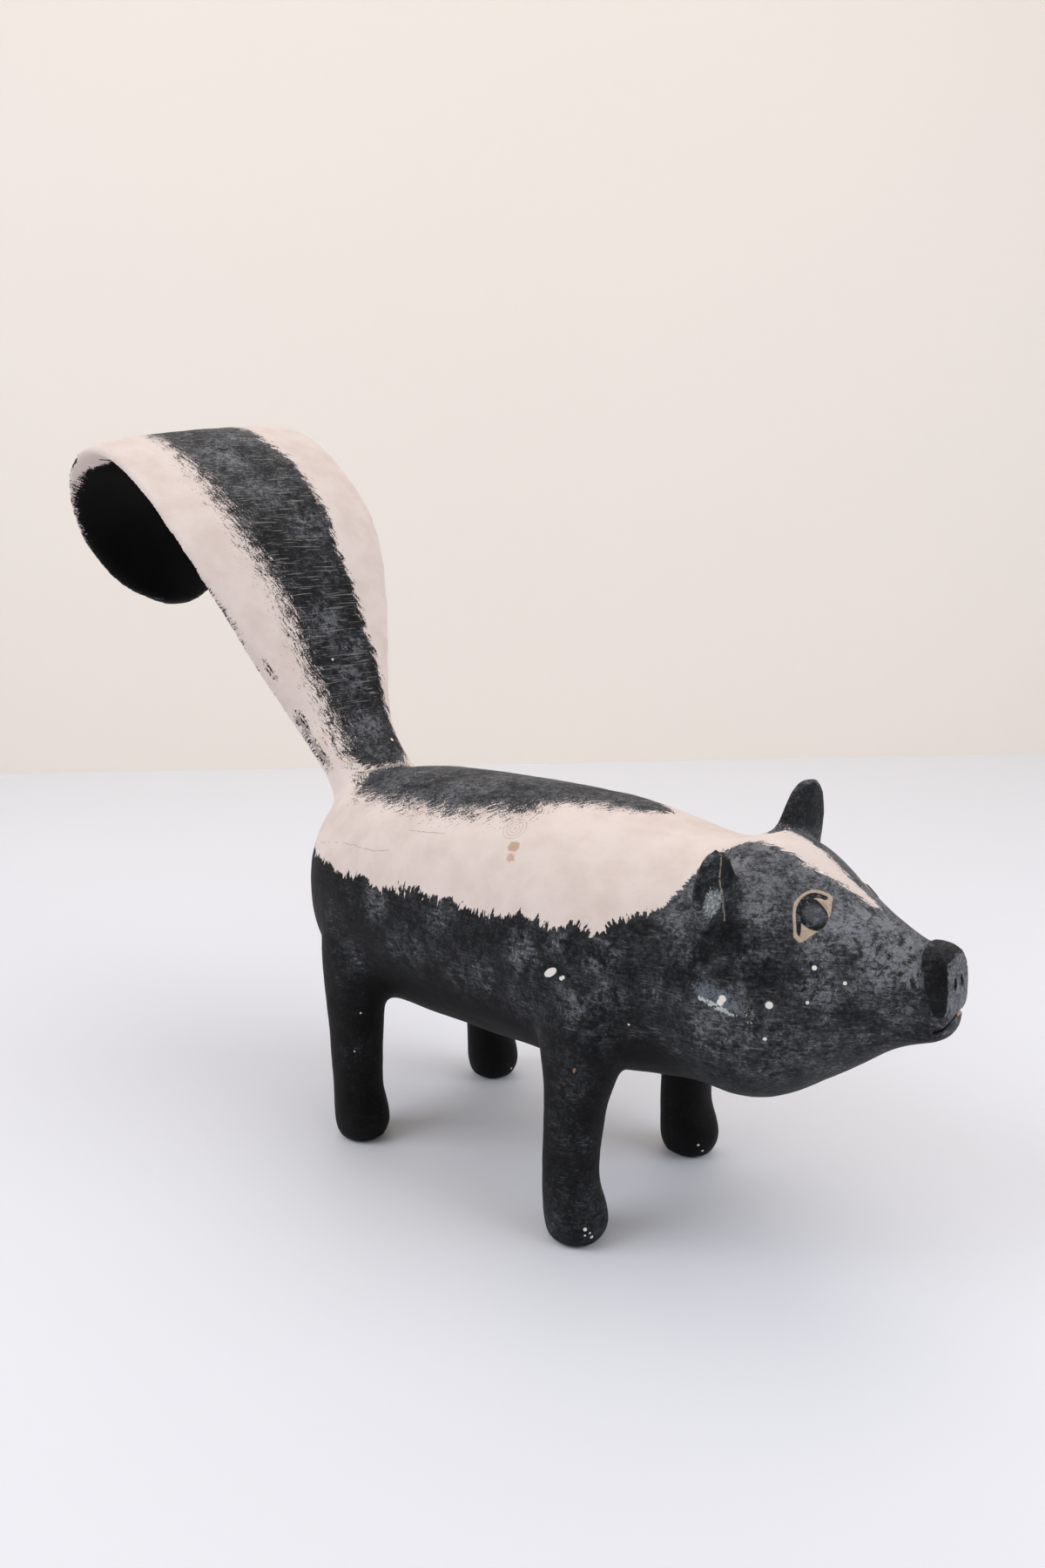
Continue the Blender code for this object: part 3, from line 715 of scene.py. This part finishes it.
# Leaf-like blotches where a first coat shows, sharp at their edges.
blotch = grainy(place, 7 * MM, 3.0, 0.6, (1, 1, 0.7), 1.6)
blotch_place = put(paint, EASE, put(paint, "Math ADD", worn_and_shaded, mixed((cloud, 1.5))), 0.40, 0.62)
blotch_on = put(paint, TIMES, put(paint, EASE, blotch, 0.56, 0.585), blotch_place)
dark = put(paint, MIX, put(paint, TIMES, blotch_on, 0.55), dark, "7A7B7C")
scuffs = grainy(place, 0.9 * MM, 3.0, 0.6, (8, 5, 1))
scuffs_place = put(paint, EASE, put(paint, "Math ADD", worn_and_shaded, mixed((cloud, 2.0))), 0.25, 0.6)
scuffs_on = put(paint, TIMES, put(paint, EASE, scuffs, 0.58, 0.65), scuffs_place)
dark = put(paint, MIX, put(paint, TIMES, scuffs_on, 0.5), dark, "747576")
thin = put(paint, EASE, put(paint, "Math ABSOLUTE", cover), 1.4, 0.1)
dark = put(paint, MIX, put(paint, TIMES, put(paint, TIMES, thin, dry), 0.3), dark, "77757A")

# Fine scratches run across the tail where it was rubbed down after painting.
height_of = put(paint, "SeparateXYZ", place, out="Z")
scratch = grainy(place, 0.9 * MM, 2.0, 0.5, (1.5, 34, 1))
up_tail = put(paint, EASE, height_of, 0.27, 0.30)
scratch_on = put(paint, TIMES, put(paint, EASE, scratch, 0.60, 0.65), up_tail)
scratch_on = put(paint, TIMES, scratch_on, put(paint, EASE, worn_and_shaded, 0.1, 0.3))
dark = put(paint, MIX, put(paint, TIMES, scratch_on, 0.55), dark, "9A9794")

# White paint: warm off-white, faintly dirty near the black and in worn patches.
pale = put(paint, MIX, put(paint, EASE, grainy(place, 24 * MM, 4.0, 0.6), 0.35, 0.7), "E8DAD3", "DFCFC7")
near_black = put(paint, EASE, reach, -7.0, -0.5)
dirt = put(paint, TIMES, put(paint, EASE, grainy(place, 0.9 * MM, 3.0, 0.6), 0.66, 0.74), near_black)
pale = put(paint, MIX, put(paint, TIMES, dirt, 0.6), pale, "7E7470")
pale = put(paint, MIX, put(paint, TIMES, put(paint, EASE, patch, 0.62, 0.8), 0.35), pale, "CDBFB6")
colour = put(paint, MIX, black, pale, dark)

# Cracks along the grain of the white flank, hair thin and brown.
crack_gap = put(paint, "SeparateXYZ", put(paint, "Attribute crack", out="Vector"), out="X")
crack_past = crack_gap.node.outputs["Y"]
crack_wander = mixed((grainy(place, 5 * MM, 4.0, 0.6), 3.0 * MM))
crack_gap = put(paint, "Math ABSOLUTE", put(paint, "Math ADD", crack_gap, crack_wander))
crack_width = put(paint, EASE, crack_gap, 0.36 * MM, 0.1 * MM)
crack_on = put(paint, TIMES, crack_width, put(paint, EASE, crack_past, 3 * MM, 1 * MM))
crack_on = put(paint, TIMES, crack_on, put(paint, EASE, grainy(place, 6 * MM, 2.0, 0.5), 0.36, 0.5))
colour = put(paint, MIX, put(paint, TIMES, crack_on, 0.5), colour, "7C6A60")

# Eye: the bare almond is tan wood, and the lid and iris over it are charcoal.
almond_depth, lid_depth, iris_reach = (
    put(paint, "Attribute " + name, out="Fac") for name in ("almond", "lid", "iris")
)
almond_on = put(paint, EASE, put(paint, "Math ADD", almond_depth, mixed((fleck, 0.5))), -0.2, 0.25)
lid_on = put(paint, EASE, lid_depth, -0.2, 0.25)
tan = put(paint, MIX, put(paint, EASE, grainy(place, 1.6 * MM, 3.0, 0.6), 0.4, 0.7), "BDA996", "A5927F")
colour = put(paint, MIX, almond_on, colour, tan)
iris_tone = put(paint, MIX, put(paint, EASE, iris_reach, 3.5, 7.6), "46494E", "17181C")
iris_tone = put(paint, MIX, put(paint, EASE, iris_reach, 8.2, 7.8), "1B1C20", iris_tone)
iris_rub = put(paint, EASE, grainy(place, 2.2 * MM, 4.0, 0.65), 0.48, 0.66)
iris_tone = put(paint, MIX, put(paint, TIMES, iris_rub, 0.6), iris_tone, "75787C")
colour = put(paint, MIX, put(paint, TIMES, lid_on, almond_on), colour, iris_tone)


def patch_on(centre, half_length, half_width, direction=(1, 0, 0), torn=0.0):
    """Patch about a place in mm, long in one direction, with a torn edge."""
    offset = put(paint, "VectorMath SUBTRACT", place, [MM * c for c in centre])
    axis = Vector(direction).normalized()
    run = put(paint, "VectorMath DOT_PRODUCT", offset, axis)
    far = put(paint, "VectorMath LENGTH", offset)
    square = put(paint, TIMES, far, far)
    run_square = put(paint, TIMES, run, run)
    across_square = put(paint, "Math SUBTRACT", square, run_square)
    beside = put(paint, "Math DIVIDE", across_square, (half_width * MM) ** 2)
    total = put(paint, "Math ADD", beside, put(paint, "Math DIVIDE", run_square, (half_length * MM) ** 2))
    if torn:
        total = put(paint, "Math MULTIPLY_ADD", put(paint, "Math SUBTRACT", patch, 0.5), torn, total)
        total = put(paint, "Math MULTIPLY_ADD", put(paint, "Math SUBTRACT", fleck, 0.5), torn, total)
    return put(paint, EASE, total, 1.15, 0.85)


# Nose: the nostrils and the sawn mouth are near black inside, black paint deepened by
# painted shade in the holes, with a pink wedge and an orange tan rim at its near corner.
nostril_on = put(paint, EASE, put(paint, "Attribute nostril", out="Fac"), 1.15, 0.85)
mouth_on = put(paint, EASE, put(paint, "Attribute mouth", out="Fac"), 0.9, 0.6)
shaded_opening = put(paint, "Math MAXIMUM", nostril_on, mouth_on)
colour = put(paint, MIX, shaded_opening, colour, "050506")
wedge = patch_on((346.6, 4.3, 171.8), 6.0, 1.0, (0.2, -1.04, 0.06), 0.3)
colour = put(paint, MIX, wedge, colour, "C08F82")
tan_rim = patch_on((344.8, -9.2, 163.6), 3.0, 0.8, (-0.3, -0.32, -0.21), 0.3)
colour = put(paint, MIX, tan_rim, colour, "8A5A3C")

# Right ear: a cream rib up its middle and a worn grey patch mottled with cream.
rib_gap = put(paint, "SeparateXYZ", put(paint, "Attribute rib", out="Vector"), out="X")
rib_past = rib_gap.node.outputs["Y"]
rib_wander = put(paint, TIMES, mixed((patch, 1.0)), 1.5 * MM)
rib_gap = put(paint, "Math ABSOLUTE", put(paint, "Math ADD", rib_gap, rib_wander))
rib_width = put(paint, EASE, rib_gap, 0.8 * MM, 0.3 * MM)
rib_on = put(paint, TIMES, rib_width, put(paint, EASE, rib_past, 2 * MM, 0.6 * MM))
rib_on = put(paint, TIMES, rib_on, put(paint, EASE, sponge, 0.36, 0.5))
colour = put(paint, MIX, put(paint, TIMES, rib_on, 0.75), colour, "9C937F")
ear_patch = patch_on((245.8, -70, 227.6), 8.0, 6.0, (0, 0.3, 1), 2.4)
ear_grey = put(paint, MIX, put(paint, EASE, sponge, 0.45, 0.6), "76828A", "C9C6BB")
colour = put(paint, MIX, put(paint, TIMES, ear_patch, 0.7), colour, ear_grey)

# Jaw: a blue-grey smear with a white streak along its lower side, and a few
# light chips ahead of it.
jaw_run = (23.1, 5.4, -7.8)
smear = patch_on((248, -68, 176), 14, 6, jaw_run, 2.2)
colour = put(paint, MIX, put(paint, TIMES, smear, put(paint, EASE, sponge, 0.35, 0.6)), colour, "6A737C")
streak = patch_on((247, -67.5, 172.0), 11, 1.6, jaw_run, 3.0)
colour = put(paint, MIX, put(paint, TIMES, streak, put(paint, EASE, sponge, 0.38, 0.52)), colour, "C6C8C9")
chips = patch_on((263, -62.5, 170), 8, 6, (0.3, 0, -1), 5.0)
chips = put(paint, TIMES, chips, put(paint, EASE, dry_specks, 0.56, 0.62))
colour = put(paint, MIX, chips, colour, "C9CBCC")

# Black dabs and brown flecks along the near edge of the tail, and a smear of
# black that nearly closes the gap between the tail stripe and the back stripe.
for centre, half_length, half_width, run, code in (
    ((-107, -37.5, 262), 17, 5.0, (0.6, 0.17, -0.77), "262628"),
    ((-117, -41, 283), 10, 3.5, (0.6, 0.17, -0.77), "262628"),
    ((-132, -54.5, 320), 9, 2.2, (0.4, 0.3, -0.85), "4A3C34"),
    ((-143, -60, 338), 6, 1.6, (0.4, 0.3, -0.85), "4A3C34"),
    ((-160, -78, 369), 16, 3.0, (0.4, 0.3, -0.85), "3A2F2A"),
    ((-75, 0, 250), 30, 3.6, (0, 1, 0), "3C3C3E"),
    ((-73, -30, 246), 9, 5.0, (0.5, -0.8, -0.2), "3C3C3E"),
):
    dabs = patch_on(centre, half_length, half_width, run, 5.0)
    dabs = put(paint, TIMES, dabs, put(paint, EASE, dry_tracks, 0.47, 0.52))
    colour = put(paint, MIX, dabs, colour, code)

# Knot in the white flank: thin ripples of grain beside two chips down to tan wood,
# and a small brown chip at the top of the right foreleg.
KNOT_PLACE = (0.094, -0.0509, 0.2398)
from_knot = put(paint, "VectorMath DISTANCE", place, KNOT_PLACE)
ripple = put(paint, "Math MULTIPLY_ADD", mixed((patch, 1.0)), 3 * MM, from_knot)
ripple = put(paint, "Math SINE", put(paint, TIMES, ripple, 2.6 / MM))
in_knot = put(paint, EASE, from_knot, 9.5 * MM, 7 * MM)
ripple = put(paint, TIMES, put(paint, EASE, ripple, 0.75, 0.95), in_knot)
colour = put(paint, MIX, put(paint, TIMES, ripple, 0.6), colour, "A08E82")
for centre, half_length, half_width, run, torn, code in (
    ((101.2, -59.9, 231.4), 4.2, 3.4, (1, 0, -0.3), 2.6, "C6AA90"),
    ((103.2, -63.4, 225.4), 3.8, 3.4, (1, 0, -0.5), 2.6, "CBB19A"),
    ((164.5, -83.2, 116.9), 1.7, 0.8, (0.3, 0, 1), 0.8, "94705C"),
):
    chip = patch_on(centre, half_length, half_width, run, torn)
    colour = put(paint, MIX, chip, colour, code)

# Drops of white paint that fell on the black, the largest drawn out as it ran.
WHITE_DROP = "EFEBE4"
long_drop = surface.find_nearest(Vector((147.0, -82.0, 170.8)) * MM)[0] / MM
colour = put(paint, MIX, patch_on(long_drop, 4.9, 2.2, (5.3, 0, 3.6), 0.3), colour, WHITE_DROP)
# Rows of round drops: x, y, z, radius in mm.
DROPS = [
    (154.4, -81.7, 168.8, 1.2), (155.8, -81.7, 169.8, 1.1), (250.7, -67.3, 176.8, 2),
    (249.6, -67.5, 174.6, 1.8), (272.7, -57.8, 176.1, 2), (289.2, -42.4, 195.6, 1.3),
    (302.4, -34.8, 188.2, 1), (288.5, -47.2, 178.2, 0.9), (270.1, -56.8, 156.5, 1.1),
    (273.3, -7.2, 235, 0.9), (278.6, -9.2, 117.4, 0.8), (-92.4, 21.6, 263.7, 1.3),
    (-27.1, -75.7, 98, 0.7), (-32.7, -78.1, 69.6, 0.6), (167.2, -77.8, 15.8, 1.1),
    (168.9, -73.6, 9.4, 1), (165.5, -76.5, 12, 0.7), (170.5, -76, 13, 0.6), (160.2, 50.5, 12.9, 0.8),
    (161.4, 54.1, 7.3, 0.8), (-20.3, 65.9, 7.7, 0.8), (-127.3, -1.6, 323, 0.9), (196, -77, 148, 0.7),
    (120, 82, 165, 1.6), (36, 83, 150, 1), (262, 60, 170, 1.4), (290, 43, 182, 0.9),
    (-40, 78, 120, 0.9),
]
drop_gap = 1.0
for *centre, radius in DROPS:
    centre = surface.find_nearest(Vector(centre) * MM)[0]
    from_drop = put(paint, "VectorMath DISTANCE", place, centre)
    drop_gap = put(paint, "Math MINIMUM", put(paint, "Math SUBTRACT", from_drop, radius * MM), drop_gap)
drop_gap = put(paint, "Math MULTIPLY_ADD", mixed((sponge, 1.0)), 0.7 * MM, drop_gap)
drop_on = put(paint, EASE, drop_gap, 0.15 * MM, -0.15 * MM)
colour = put(paint, MIX, drop_on, colour, WHITE_DROP)

paint.node_tree.links.new(colour, shader.inputs["Base Color"])
sheen = put(paint, "Math ADD", put(paint, EASE, black, 0.0, 1.0, 0.72, 0.60), put(paint, TIMES, chalk, 0.12))
paint.node_tree.links.new(sheen, shader.inputs["Roughness"])

tooth = grainy(place, 1.2 * MM, 3.0, 0.6)
relief = put(paint, "Math MULTIPLY_ADD", patch, 0.8, put(paint, TIMES, tooth, 0.6))
relief = put(paint, "Math MULTIPLY_ADD", brushing, 0.3, relief)
bump = put(paint, "Bump", Height=relief, Strength=0.6, Distance=0.35 * MM)
paint.node_tree.links.new(bump, shader.inputs["Normal"])

skin_mesh.materials.append(paint)
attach(skunk, "root")
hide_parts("skunk")
